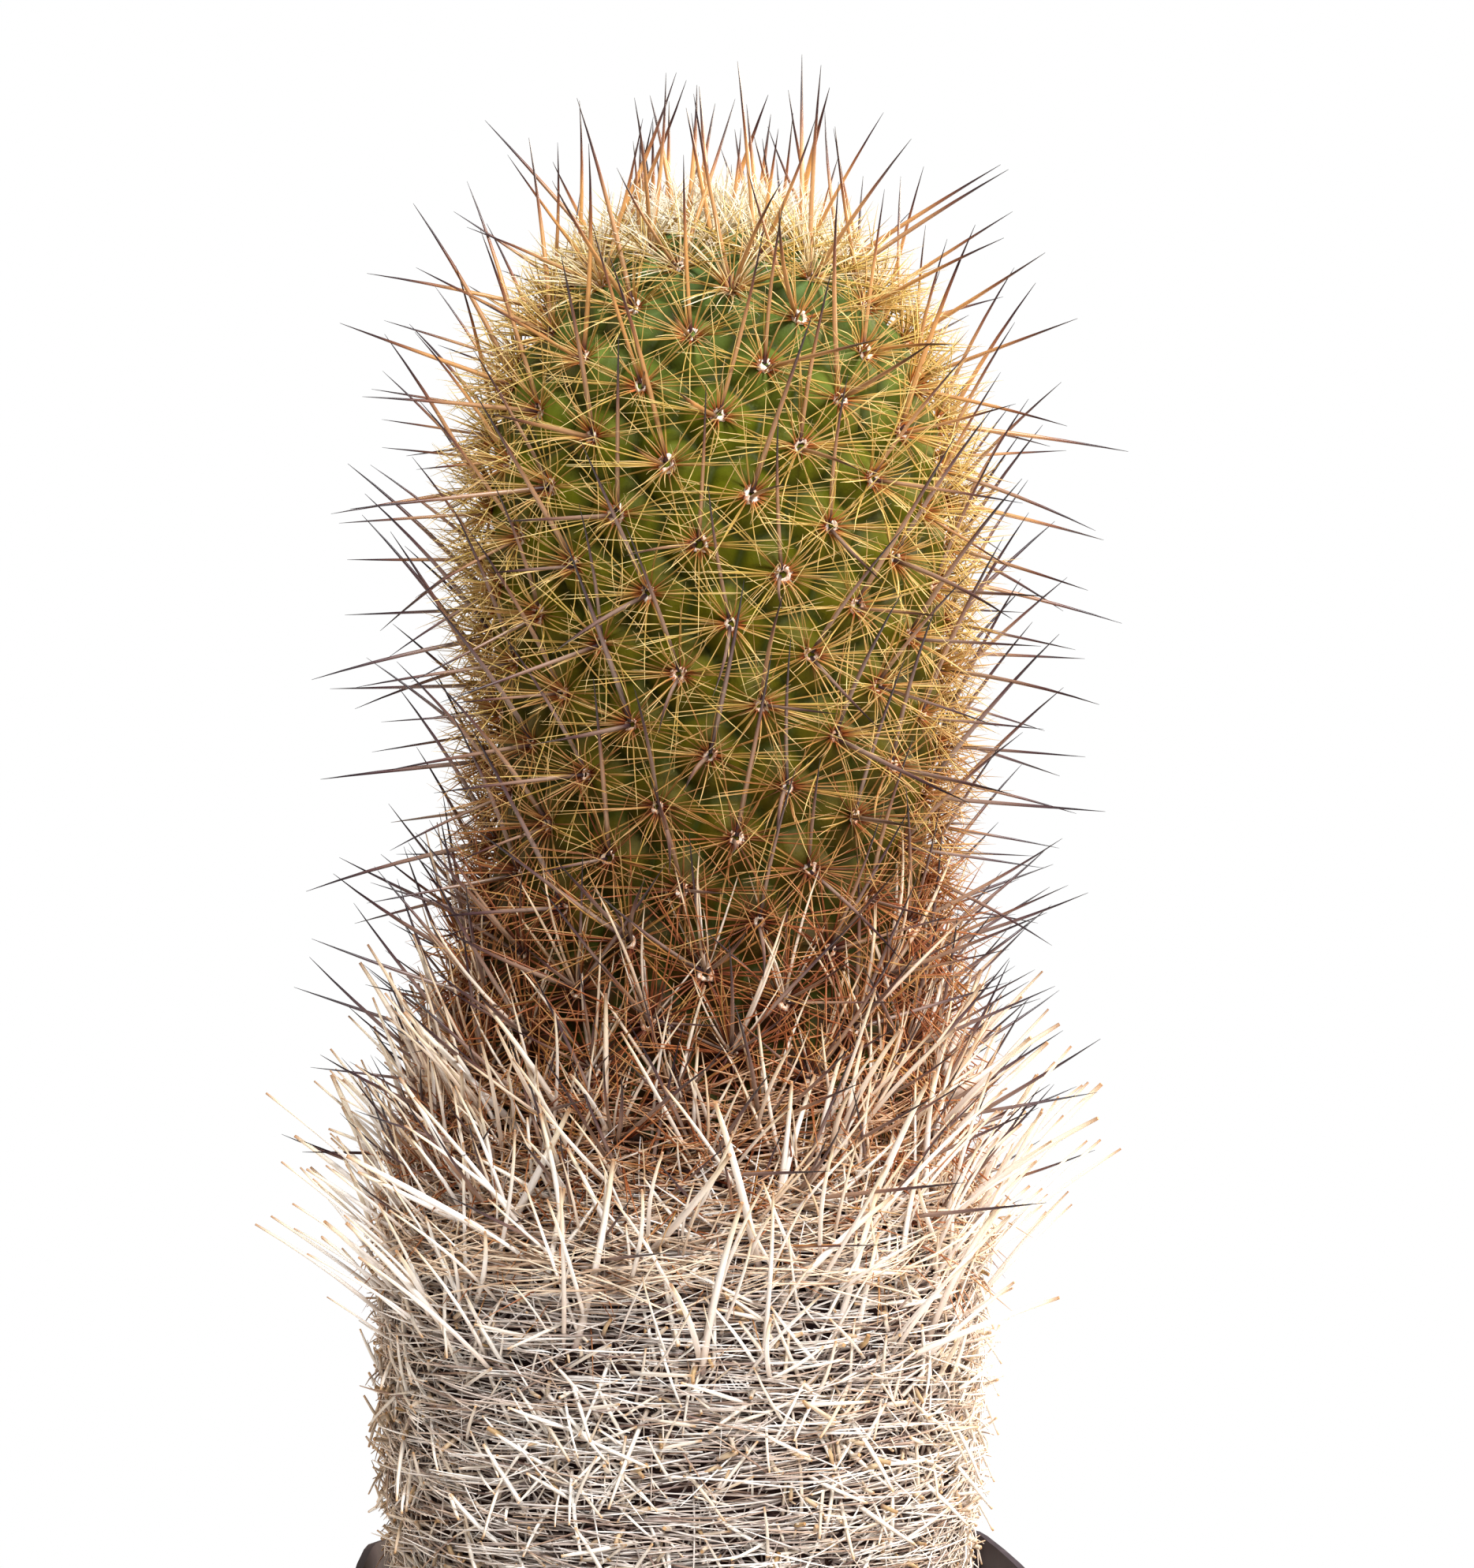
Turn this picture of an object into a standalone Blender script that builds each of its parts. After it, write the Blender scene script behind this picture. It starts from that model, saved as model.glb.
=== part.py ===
"""Potted tall cactus: a spiny columnar stem in a thin square nursery pot with a gravel top dressing.

Metres, +Z up. The origin is the middle of the pot's underside. Heights on the plant are measured
from the top of the potting mix, and its radii are those of the tubercle tips.
"""

import math
import random
from collections import namedtuple

import bmesh
import bpy
from mathutils import Matrix, Vector

MM = 0.001
GAP = 0.3 * MM  # left between pieces that touch
CUTTER_OVERRUN = 5 * MM  # how far a cutter goes past the faces that it opens
ROUND_STEPS = 48  # sides of the large turned shapes

# Pot: a square, thin-walled shell with round corners, sides that bow out and a stepped lip band.
POT_HEIGHT = 85 * MM
POT_TOP_WIDTH = 88 * MM
POT_BASE_WIDTH = 64 * MM
POT_WALL = 1.1 * MM
POT_CORNER = 7 * MM
SIDE_BOW = 2.2 * MM
BASE_ROUND = 2 * MM
LIP_BAND = 6 * MM
LIP_STEP = 1.2 * MM
DRAIN_HOLE_RADIUS = 4 * MM
DRAIN_HOLE_INSET = 13 * MM  # from the base's sides to a hole's middle
HOLE_STEPS = 16
SIDE_STEPS = 8
CORNER_STEPS = 4
BASE_STEPS = 3

# Filling
MIX_BELOW_LIP = 7 * MM
PEBBLE_SIZE = 6.2 * MM
PEBBLE_ROUGHNESS = 0.12
PEBBLE_SPREAD = math.radians(12)  # the side pebbles of a corner, either side of its diagonal
PEBBLE_PLACES = ((0, 0.68), (0, 0.22), (-1, 0.34), (1, 0.34))  # (side, share of the room past the plant)

# Stem
STEM_RISE = 187 * MM
CROWN_HEIGHT = 38 * MM
CROWN_SQUARENESS = 2.15  # 2 is an ellipse, more is a blunter dome
BASE_RADIUS = 33.5 * MM
COLLAR_HEIGHT = 45 * MM
COLLAR_RADIUS = 35 * MM
WAIST_HEIGHT = 103 * MM
WAIST_RADIUS = 28.4 * MM
SHOULDER_RADIUS = 30 * MM
BURIED_TUBERCLES = 12 * MM
BURIED_DEPTH = 22 * MM
FOOT_RADIUS = 22 * MM
SOCKET_CLEARANCE = 0.6 * MM  # between the buried stem and the potting mix
LEAN_LOW = -2.5 * MM  # sideways place of the stem's middle, below and above its bend
LEAN_HIGH = 2.2 * MM
BEND_START = 52 * MM
BEND_END = 128 * MM
GROOVE_DEPTH = 2.4 * MM
RIDGE_DIP = 1.3 * MM
COLUMN_SAMPLES, DOME_SAMPLES = 400, 200  # fine steps along the outline, for measuring its surface

# Areoles: one golden-angle spiral, smaller cells towards the growing point
GOLDEN_ANGLE = math.radians(137.508)
FIRST_ANGLE = math.radians(168)
CELL_AREA = 88 * MM * MM
YOUNG_RADIUS = 24 * MM  # inside this the cells shrink
YOUNG_SHRINK = 1.5
GROWING_POINT = 2.5 * MM
LEFT_STEP, RIGHT_STEP = 8, 13  # neighbours on the two spiral families

# Old spines matted round the lower stem
THATCH_HEIGHT = 68 * MM
THATCH_THICKNESS = 5 * MM
THATCH_FADE = 15 * MM  # height over which the mat draws in to the stem
THATCH_EDGE = 0.12  # its thickness at the upper edge, as a share of the full one
THATCH_LEVELS = 9

# Spine clusters
CLUSTERS = 36
PAD_RADIUS = 1.6 * MM
PAD_HEIGHT = 1.0 * MM
PAD_TAPER = 0.8
RADIALS = 8
RADIAL_LENGTH = 10 * MM
RADIAL_RISE = math.radians(25)
RISE_SPREAD = math.radians(6)
CENTRAL_LENGTH = 24 * MM
OLD_CENTRAL_LENGTH = 15 * MM  # those on the mat are worn and broken
OUTER_CENTRAL_RISE = math.radians(4)
UPPER_CENTRAL_RISE = math.radians(52)
CENTRAL_SWAY = 0.25
CROWN_SPINE_LENGTH = 19 * MM
CROWN_SPINE_RISES = (math.radians(17), math.radians(-6), math.radians(-23))
SHORTEST = 0.85  # shortest spine as a share of the full length
SPINE_TIP = 0.25  # tip thickness as a share of the root's
CLUSTER_ROOM = 1.4 * RADIAL_LENGTH  # between the pot's rim and the middle of the lowest cluster
CROWN_ROOM = 2 * RADIAL_LENGTH  # radius kept for the crown's own spines

MIX_TOP = POT_HEIGHT - MIX_BELOW_LIP
CROWN_START = STEM_RISE - CROWN_HEIGHT

Spot = namedtuple("Spot", "angle height radius tilt")


def clear_scene():
    for obj in list(bpy.data.objects):
        bpy.data.objects.remove(obj)


def new_collection(name):
    collection = bpy.data.collections.new(name)
    bpy.context.scene.collection.children.link(collection)
    return collection


def material(name, colour, roughness, metallic=0.0):
    made = bpy.data.materials.new(name)
    made.use_nodes = True
    shader = made.node_tree.nodes["Principled BSDF"]
    shader.inputs["Base Color"].default_value = (*colour, 1)
    shader.inputs["Roughness"].default_value = roughness
    shader.inputs["Metallic"].default_value = metallic
    return made


def add(name, mesh, finish, collection, smooth=True):
    obj = bpy.data.objects.new(name, mesh)
    collection.objects.link(obj)
    obj.data.materials.append(finish)
    if smooth:
        obj.data.shade_smooth()
        obj.data.set_sharp_from_angle(angle=math.radians(40))
    return obj


def finished(bm, name):
    mesh = bpy.data.meshes.new(name)
    bm.to_mesh(mesh)
    bm.free()
    return mesh


def cut(target, cutter):
    cutter.hide_render = True
    cutter.display_type = "WIRE"
    modifier = target.modifiers.new("cut_" + cutter.name, "BOOLEAN")
    modifier.operation = "DIFFERENCE"
    modifier.solver = "EXACT"
    modifier.object = cutter


def smoothstep(low, high, value):
    share = min(max((value - low) / (high - low), 0.0), 1.0)
    return share * share * (3 - 2 * share)


def loft(rings, name, close_top):
    """Skin a stack of equal rings, lowest first, with the bottom closed and the top open or closed."""
    bm = bmesh.new()
    rows = [[bm.verts.new(point) for point in ring] for ring in rings]
    count = len(rows[0])
    for low, high in zip(rows, rows[1:]):
        for step in range(count):
            after = (step + 1) % count
            bm.faces.new((low[step], low[after], high[after], high[step]))
    bm.faces.new(rows[0][::-1])
    if close_top:
        bm.faces.new(rows[-1])
    return finished(bm, name)


def turned(profile, steps, name):
    """Mesh of a profile of (radius, height) points, outer side first and top to bottom, spun round Z."""
    bm = bmesh.new()
    points = [bm.verts.new((radius, 0, height)) for radius, height in profile]
    for first, second in zip(points, points[1:] + points[:1]):
        bm.edges.new((first, second))
    obj = bpy.data.objects.new(name, finished(bm, name + "_profile"))
    bpy.context.scene.collection.objects.link(obj)
    screw = obj.modifiers.new("turn", "SCREW")
    screw.steps = screw.render_steps = steps
    screw.use_merge_vertices = True
    screw.merge_threshold = 0.00001
    graph = bpy.context.evaluated_depsgraph_get()
    mesh = bpy.data.meshes.new_from_object(obj.evaluated_get(graph))
    mesh.name = name
    bpy.data.objects.remove(obj)
    return mesh


# Pot and filling


def wall_width(height):
    """Outside width of the pot's wall, without the lip band."""
    top = POT_TOP_WIDTH - 2 * LIP_STEP
    return POT_BASE_WIDTH + (top - POT_BASE_WIDTH) * height / POT_HEIGHT


def inner_half_width(height):
    return wall_width(height) / 2 - POT_WALL


def pot_section(half, corner, height):
    """Ring of a square with round corners and sides that bow out, at one height."""
    straight = half - corner
    bow = SIDE_BOW * half / (POT_TOP_WIDTH / 2)
    ring = []
    for quarter in range(4):
        turn = Matrix.Rotation(quarter * math.pi / 2, 3, "Z")
        for step in range(SIDE_STEPS):
            share = 2 * step / SIDE_STEPS - 1
            ring.append(turn @ Vector((half + bow * (1 - share * share), straight * share, height)))
        for step in range(CORNER_STEPS):
            angle = math.pi / 2 * step / CORNER_STEPS
            x = straight + corner * math.cos(angle)
            y = straight + corner * math.sin(angle)
            ring.append(turn @ Vector((x, y, height)))
    return ring


def make_pot(parts, cutters, plastic):
    rings = []
    for step in range(BASE_STEPS + 1):
        angle = math.pi / 2 * step / BASE_STEPS
        inset = BASE_ROUND * (1 - math.sin(angle))
        height = BASE_ROUND * (1 - math.cos(angle))
        rings.append(pot_section(wall_width(height) / 2 - inset, POT_CORNER - inset, height))
    band_foot = POT_HEIGHT - LIP_BAND
    for height, step_out in ((band_foot - LIP_STEP, 0), (band_foot, LIP_STEP), (POT_HEIGHT, LIP_STEP)):
        rings.append(pot_section(wall_width(height) / 2 + step_out, POT_CORNER + step_out, height))
    pot = add("pot", loft(rings, "pot", close_top=False), plastic, parts)
    wall = pot.modifiers.new("wall", "SOLIDIFY")
    wall.thickness = POT_WALL
    wall.offset = -1
    wall.use_even_offset = True
    reach = POT_BASE_WIDTH / 2 - DRAIN_HOLE_INSET
    for number, (side_x, side_y) in enumerate(((1, 1), (-1, 1), (-1, -1), (1, -1)), 1):
        bm = bmesh.new()
        bmesh.ops.create_cone(
            bm, cap_ends=True, segments=HOLE_STEPS, radius1=DRAIN_HOLE_RADIUS, radius2=DRAIN_HOLE_RADIUS,
            depth=2 * (POT_WALL + CUTTER_OVERRUN),
        )
        name = f"drain_cutter_{number}"
        cutter = add(name, finished(bm, name), plastic, cutters, smooth=False)
        cutter.location = (side_x * reach, side_y * reach, 0)
        cut(pot, cutter)


def make_mix(parts, cutters, mix):
    clear = POT_WALL + GAP
    rings = []
    for height, inset in ((clear, BASE_ROUND), (clear + BASE_ROUND, 0), (MIX_TOP, 0)):
        half = inner_half_width(height) - 2 * GAP - inset
        rings.append(pot_section(half, POT_CORNER - clear, height))
    block = add("potting_mix", loft(rings, "potting_mix", close_top=True), mix, parts)
    wide = BASE_RADIUS + SOCKET_CLEARANCE
    bottom = MIX_TOP - BURIED_DEPTH - GAP
    profile = [
        (0, MIX_TOP + CUTTER_OVERRUN),
        (wide, MIX_TOP + CUTTER_OVERRUN),
        (wide, MIX_TOP - BURIED_TUBERCLES - GAP),
        (FOOT_RADIUS + SOCKET_CLEARANCE, bottom),
        (0, bottom),
    ]
    mesh = turned(profile, ROUND_STEPS, "socket_cutter")
    socket = add("socket_cutter", mesh, mix, cutters, smooth=False)
    socket.location.x = LEAN_LOW
    cut(block, socket)


def make_pebbles(parts, stones):
    """Four pebbles in each corner of the pot, where the top dressing shows past the plant."""
    inner = inner_half_width(MIX_TOP) - GAP
    corner_reach = inner * math.sqrt(2) - (POT_CORNER - POT_WALL) * (math.sqrt(2) - 1)
    plant_reach = BASE_RADIUS + GAP + THATCH_THICKNESS + abs(LEAN_LOW)
    room = corner_reach - plant_reach
    draw = random.Random(7)
    number = 0
    for quarter in range(4):
        for side, share in PEBBLE_PLACES:
            number += 1
            name = f"pebble_{number:02d}"
            bm = bmesh.new()
            bmesh.ops.create_icosphere(bm, subdivisions=2, radius=PEBBLE_SIZE / 2)
            for vert in bm.verts:
                vert.co *= draw.uniform(1 - PEBBLE_ROUGHNESS, 1)
            squash = Vector((draw.uniform(0.85, 1.0), draw.uniform(0.75, 0.95), draw.uniform(0.55, 0.75)))
            bmesh.ops.scale(bm, vec=squash, verts=bm.verts)
            lowest = min(vert.co.z for vert in bm.verts)
            pebble = add(name, finished(bm, name), stones[number % len(stones)], parts)
            angle = math.pi / 4 + quarter * math.pi / 2 + side * PEBBLE_SPREAD
            reach = plant_reach + room * share
            pebble.location = (reach * math.cos(angle), reach * math.sin(angle), MIX_TOP + GAP - lowest)
            pebble.rotation_euler.z = draw.uniform(0, 2 * math.pi)


# Plant


def tip_radius(height):
    """Radius over the tubercle tips below the crown."""
    if height < COLLAR_HEIGHT:
        return BASE_RADIUS + (COLLAR_RADIUS - BASE_RADIUS) * smoothstep(0, COLLAR_HEIGHT, height)
    if height < WAIST_HEIGHT:
        share = smoothstep(COLLAR_HEIGHT, WAIST_HEIGHT, height)
        return COLLAR_RADIUS + (WAIST_RADIUS - COLLAR_RADIUS) * share
    share = smoothstep(WAIST_HEIGHT, CROWN_START, height)
    return WAIST_RADIUS + (SHOULDER_RADIUS - WAIST_RADIUS) * share


def stem_outline():
    """(radius, height) from the buried foot of the tubercles up to the middle of the crown."""
    outline = []
    for step in range(COLUMN_SAMPLES):
        height = -BURIED_TUBERCLES + (CROWN_START + BURIED_TUBERCLES) * step / COLUMN_SAMPLES
        outline.append((tip_radius(height), height))
    power = 2 / CROWN_SQUARENESS
    for step in range(DOME_SAMPLES + 1):
        angle = math.pi / 2 * step / DOME_SAMPLES
        radius = SHOULDER_RADIUS * max(math.cos(angle), 0) ** power
        outline.append((radius, CROWN_START + CROWN_HEIGHT * math.sin(angle) ** power))
    return outline


def cell_area(radius):
    return CELL_AREA * min(radius / YOUNG_RADIUS, 1.0) ** YOUNG_SHRINK


def areoles():
    """Every areole, lowest first: each takes up one cell of the stem's surface."""
    spots = []
    count = 0.0
    outline = stem_outline()
    for (low_r, low_z), (high_r, high_z) in zip(outline, outline[1:]):
        radius = (low_r + high_r) / 2
        if radius < GROWING_POINT:
            break
        slant = math.hypot(high_r - low_r, high_z - low_z)
        count += 2 * math.pi * radius * slant / cell_area(radius)
        while len(spots) < count:
            back = (count - len(spots)) * cell_area(radius) / (2 * math.pi * radius * slant)
            height = high_z - (high_z - low_z) * back
            reach = high_r - (high_r - low_r) * back
            tilt = math.atan2(low_r - high_r, high_z - low_z)
            angle = FIRST_ANGLE - len(spots) * GOLDEN_ANGLE
            spots.append(Spot(angle, height, reach, tilt))
    return spots


def middle(height):
    """Sideways place of the stem's middle: it leans one way, bends and goes on the other way."""
    return LEAN_LOW + (LEAN_HIGH - LEAN_LOW) * smoothstep(BEND_START, BEND_END, height)


def on_plant(angle, height, radius):
    return Vector((middle(height) + radius * math.cos(angle), radius * math.sin(angle), MIX_TOP + height))


def make_stem(parts, flesh, spots):
    """One grown solid: a net through the areoles, dipped between them into a groove round each tubercle."""
    bm = bmesh.new()
    tips = [bm.verts.new(on_plant(spot.angle, spot.height, spot.radius)) for spot in spots]
    span = LEFT_STEP + RIGHT_STEP
    for first in range(len(tips) - span):
        corners = (first, first + RIGHT_STEP, first + span, first + LEFT_STEP)
        bm.faces.new([tips[corner] for corner in corners])
    bmesh.ops.subdivide_edges(bm, edges=bm.edges[:], cuts=1, use_grid_fill=True)
    bm.normal_update()
    bm.verts.index_update()
    is_tip = [vert.index < len(tips) for vert in bm.verts]
    moves = []
    for vert in bm.verts:
        if is_tip[vert.index]:
            continue
        on_ridge = any(is_tip[edge.other_vert(vert).index] for edge in vert.link_edges)
        off_middle = math.hypot(vert.co.x - middle(vert.co.z - MIX_TOP), vert.co.y)
        depth = (RIDGE_DIP if on_ridge else GROOVE_DEPTH) * min(off_middle / YOUNG_RADIUS, 1.0)
        moves.append((vert, vert.normal * depth))
    for vert, move in moves:
        vert.co -= move
    open_edges = [edge for edge in bm.edges if edge.is_boundary]
    halfway = MIX_TOP + STEM_RISE / 2
    top = [edge for edge in open_edges if edge.verts[0].co.z > halfway]
    bottom = [edge for edge in open_edges if edge.verts[0].co.z < halfway]
    crown = bmesh.ops.contextual_create(bm, geom=top)["faces"]
    point = bmesh.ops.poke(bm, faces=crown)["verts"][0]
    point.co = on_plant(0, STEM_RISE, 0)
    drawn = bmesh.ops.extrude_edge_only(bm, edges=bottom)["geom"]
    foot = [item for item in drawn if isinstance(item, bmesh.types.BMVert)]
    for vert in foot:
        angle = math.atan2(vert.co.y, vert.co.x - LEAN_LOW)
        vert.co = on_plant(angle, -BURIED_DEPTH, FOOT_RADIUS)
    last = [edge for edge in bm.edges if edge.is_boundary]
    bmesh.ops.contextual_create(bm, geom=last)
    bmesh.ops.recalc_face_normals(bm, faces=bm.faces[:])
    add("cactus_stem", finished(bm, "cactus_stem"), flesh, parts)


def thatch_reach(height):
    """Outside radius of the matted old spines, drawn in to the stem at their upper edge."""
    full = 1 - smoothstep(THATCH_HEIGHT - THATCH_FADE, THATCH_HEIGHT, height)
    return tip_radius(height) + GAP + THATCH_THICKNESS * (THATCH_EDGE + (1 - THATCH_EDGE) * full)


def make_thatch(parts, straw):
    tall = THATCH_HEIGHT - GAP
    heights = [GAP + tall * step / THATCH_LEVELS for step in range(THATCH_LEVELS + 1)]
    outside = [(thatch_reach(height), height) for height in reversed(heights)]
    inside = [(tip_radius(height) + GAP, height) for height in heights]
    mesh = turned(outside + inside, ROUND_STEPS, "spine_thatch")
    for vert in mesh.vertices:
        height = vert.co.z
        vert.co.x += middle(height)
        vert.co.z = MIX_TOP + height
    add("spine_thatch", mesh, straw, parts)


def grow_spine(bm, face, direction, length, joints):
    """Draw one face of a pad out into a tapering spine."""
    for _ in range(joints):
        face = bmesh.ops.extrude_discrete_faces(bm, faces=[face])["faces"][0]
        centre = face.calc_center_median()
        taper = SPINE_TIP ** (1 / joints)
        for vert in face.verts:
            vert.co = centre + (vert.co - centre) * taper + direction * length / joints


def spine_cluster(name, draw, rises, length):
    """Wool pad with a ring of radial spines round it and central spines on top, as one closed body."""
    bm = bmesh.new()
    bmesh.ops.create_cone(
        bm, cap_ends=True, segments=RADIALS, radius1=PAD_RADIUS, radius2=PAD_RADIUS * PAD_TAPER,
        depth=PAD_HEIGHT,
    )
    bmesh.ops.translate(bm, vec=(0, 0, PAD_HEIGHT / 2), verts=bm.verts)
    bm.normal_update()
    cap = next(face for face in bm.faces if face.normal.z > 0.9)
    sides = [face for face in bm.faces if abs(face.normal.z) < 0.9]
    slices = bmesh.ops.poke(bm, faces=[cap])["faces"]
    for side in sides:
        out = side.calc_center_median()
        angle = math.atan2(out.y, out.x)
        rise = RADIAL_RISE + draw.uniform(-RISE_SPREAD, RISE_SPREAD)
        flat = math.cos(rise)
        direction = Vector((math.cos(angle) * flat, math.sin(angle) * flat, math.sin(rise)))
        grow_spine(bm, side, direction, RADIAL_LENGTH * draw.uniform(SHORTEST, 1), 1)
    for number, rise in enumerate(rises):
        face = slices[number * RADIALS // len(rises)]
        sway = draw.uniform(-CENTRAL_SWAY, CENTRAL_SWAY)
        direction = Vector((sway, math.sin(rise), math.cos(rise))).normalized()
        grow_spine(bm, face, direction, length * draw.uniform(SHORTEST, 1), 2)
    bmesh.ops.recalc_face_normals(bm, faces=bm.faces[:])
    return finished(bm, name)


def stand_on(obj, spot, radius):
    """Set a cluster on the surface at an areole, its own Y up the stem."""
    level = math.cos(spot.tilt)
    out = Vector((math.cos(spot.angle) * level, math.sin(spot.angle) * level, math.sin(spot.tilt)))
    side = Vector((-math.sin(spot.angle), math.cos(spot.angle), 0))
    up = out.cross(side)
    turn = Matrix((side, up, out)).transposed()
    obj.rotation_euler = turn.to_euler()
    obj.location = on_plant(spot.angle, spot.height, radius) + out * GAP


def spread_out(spots, count):
    """So many of the spots, each time the one furthest from those already taken, lowest first."""
    places = [on_plant(spot.angle, spot.height, spot.radius) for spot in spots]
    clearance = [math.inf] * len(spots)
    taken = []
    for _ in range(count):
        furthest = max(range(len(spots)), key=clearance.__getitem__)
        taken.append(furthest)
        for number, place in enumerate(places):
            clearance[number] = min(clearance[number], (place - places[furthest]).length)
    return [spots[number] for number in sorted(taken)]


def make_clusters(parts, spine, straw, spots):
    """Clusters at evenly spread areoles, and one on the growing point."""
    draw = random.Random(3)
    lowest = MIX_BELOW_LIP + CLUSTER_ROOM
    showing = [
        spot for spot in spots
        if spot.height > lowest and spot.radius > CROWN_ROOM
        and abs(spot.height - THATCH_HEIGHT) > RADIAL_LENGTH
    ]
    for number, spot in enumerate(spread_out(showing, CLUSTERS)):
        name = f"spine_cluster_{number + 1:02d}"
        old = spot.height < THATCH_HEIGHT
        radius = thatch_reach(spot.height) if old else spot.radius
        length = OLD_CENTRAL_LENGTH if old else CENTRAL_LENGTH
        mesh = spine_cluster(name, draw, (OUTER_CENTRAL_RISE, UPPER_CENTRAL_RISE), length)
        stand_on(add(name, mesh, straw if old else spine, parts), spot, radius)
    mesh = spine_cluster("crown_spines", draw, CROWN_SPINE_RISES, CROWN_SPINE_LENGTH)
    stand_on(add("crown_spines", mesh, spine, parts), Spot(0, STEM_RISE, 0, math.pi / 2), 0)


def main():
    clear_scene()
    parts = new_collection("potted_tall_cactus")
    cutters = new_collection("cutters")
    cutters.hide_render = True
    plastic = material("pot_plastic", (0.03, 0.028, 0.032), 0.6)
    mix = material("potting_mix", (0.07, 0.045, 0.03), 0.95)
    stones = [
        material("grey_stone", (0.32, 0.31, 0.3), 0.8),
        material("cream_stone", (0.62, 0.56, 0.46), 0.75),
        material("orange_stone", (0.42, 0.22, 0.1), 0.75),
    ]
    flesh = material("cactus_skin", (0.13, 0.2, 0.09), 0.55)
    straw = material("old_spine", (0.62, 0.54, 0.42), 0.7)
    spine = material("young_spine", (0.52, 0.32, 0.14), 0.5)
    spots = areoles()
    make_pot(parts, cutters, plastic)
    make_mix(parts, cutters, mix)
    make_pebbles(parts, stones)
    make_stem(parts, flesh, spots)
    make_thatch(parts, straw)
    make_clusters(parts, spine, straw, spots)


main()
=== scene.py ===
"""Looks of the potted tall cactus. Metres, +Z up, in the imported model's frame.

The plant follows one rule: areoles lie on a golden-angle spiral, and every areole carries a pad of
wool, a burst of radial spines and a few centrals. The lower stem is matted with old, bleached spines.
"""

import math
from collections import namedtuple

import bmesh
import bpy
import numpy as np
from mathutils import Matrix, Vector


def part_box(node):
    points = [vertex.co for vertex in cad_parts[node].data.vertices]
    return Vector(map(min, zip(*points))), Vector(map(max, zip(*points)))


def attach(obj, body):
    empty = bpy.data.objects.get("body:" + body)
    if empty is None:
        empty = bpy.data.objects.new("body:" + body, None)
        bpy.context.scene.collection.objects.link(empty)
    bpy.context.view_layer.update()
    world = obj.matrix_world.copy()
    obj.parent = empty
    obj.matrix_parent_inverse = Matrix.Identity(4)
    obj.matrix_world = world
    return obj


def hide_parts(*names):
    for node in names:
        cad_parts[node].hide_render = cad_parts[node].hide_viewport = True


MM = 0.001
GAP = 0.3 * MM

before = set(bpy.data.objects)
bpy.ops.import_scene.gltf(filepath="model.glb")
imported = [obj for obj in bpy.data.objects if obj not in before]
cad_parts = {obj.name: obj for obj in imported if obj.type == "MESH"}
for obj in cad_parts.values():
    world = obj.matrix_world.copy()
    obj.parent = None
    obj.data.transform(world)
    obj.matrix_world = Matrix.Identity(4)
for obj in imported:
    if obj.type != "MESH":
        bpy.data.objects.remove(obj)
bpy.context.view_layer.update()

# Places read from the frame
MIX_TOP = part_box("potting_mix")[1].z
STEM_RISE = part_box("cactus_stem")[1].z - MIX_TOP
THATCH_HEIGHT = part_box("spine_thatch")[1].z - MIX_TOP
POT_LOW, POT_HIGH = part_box("pot")
POT_RIM = POT_HIGH.z

# Stem and mat, as in the CAD model: heights from the top of the potting mix, radii over the tubercle tips
CROWN_HEIGHT = 38 * MM
CROWN_SQUARENESS = 2.15
CROWN_START = STEM_RISE - CROWN_HEIGHT
BASE_RADIUS = 33.5 * MM
COLLAR_HEIGHT = 45 * MM
COLLAR_RADIUS = 35 * MM
WAIST_HEIGHT = 103 * MM
WAIST_RADIUS = 28.4 * MM
SHOULDER_RADIUS = 30 * MM
BURIED_TUBERCLES = 12 * MM
LEAN_LOW = -2.5 * MM
LEAN_HIGH = 2.2 * MM
BEND_START = 52 * MM
BEND_END = 128 * MM
THATCH_THICKNESS = 5 * MM
THATCH_FADE = 15 * MM
THATCH_EDGE = 0.12

# Finer than the CAD model
THATCH_TUCK = 1.7 * MM  # how far the mat's own spines root under its outside
FOOT_TUCK = 2.6 * MM  # and how much further at its foot
FOOT_TOP = 22 * MM  # height at which the foot's tuck ends
UNTUCKED_FROM, UNTUCKED_AT = 50 * MM, 66 * MM  # heights between which the tuck runs out
CORE_DRAW = 1.8 * MM  # how far the mat's core draws in at its upper edge
CORE_DRAW_HEIGHT = 12 * MM
GROOVE_DEPTH = 2.6 * MM
GROOVE_SHARPNESS = 2.4  # higher is a narrower groove between two tubercles
CROWN_CLOSE = 1.2 * MM  # run of the outline that the stem's cap closes over
SKIN_BROWN_BELOW = 60 * MM

# Areoles
GOLDEN_ANGLE = math.radians(137.508)
FIRST_ANGLE = math.radians(168)
CELL_AREA = 88 * MM * MM
YOUNG_RADIUS = 24 * MM
YOUNG_SHRINK = 1.5
GROWING_POINT = 2.5 * MM

# Where each kind of spine grows: heights over the potting mix, radii from the stem's middle
AGE_LOW, AGE_HIGH = 80 * MM, 150 * MM  # oldest below the first, youngest above the second
BROWN_LOW, BROWN_HIGH = 56 * MM, 98 * MM
CROWN_REACH = 14 * MM
CROWN_FUZZ_REACH = 22 * MM
CROWN_AGE_START = 8 * MM
CROWN_BARE_REACH = 5.5 * MM  # no centrals nearer the growing point
BRISTLE_FROM_RADIUS = 20 * MM
DARK_LOW, DARK_HIGH = 128 * MM, 172 * MM  # centrals fade from dark to amber between these
DRIED_LOW, DRIED_HIGH = 52 * MM, 92 * MM
WOOL_LOW = 58 * MM
WOOL_OLD_AT, WOOL_YOUNG_AT = 125 * MM, 175 * MM

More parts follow.
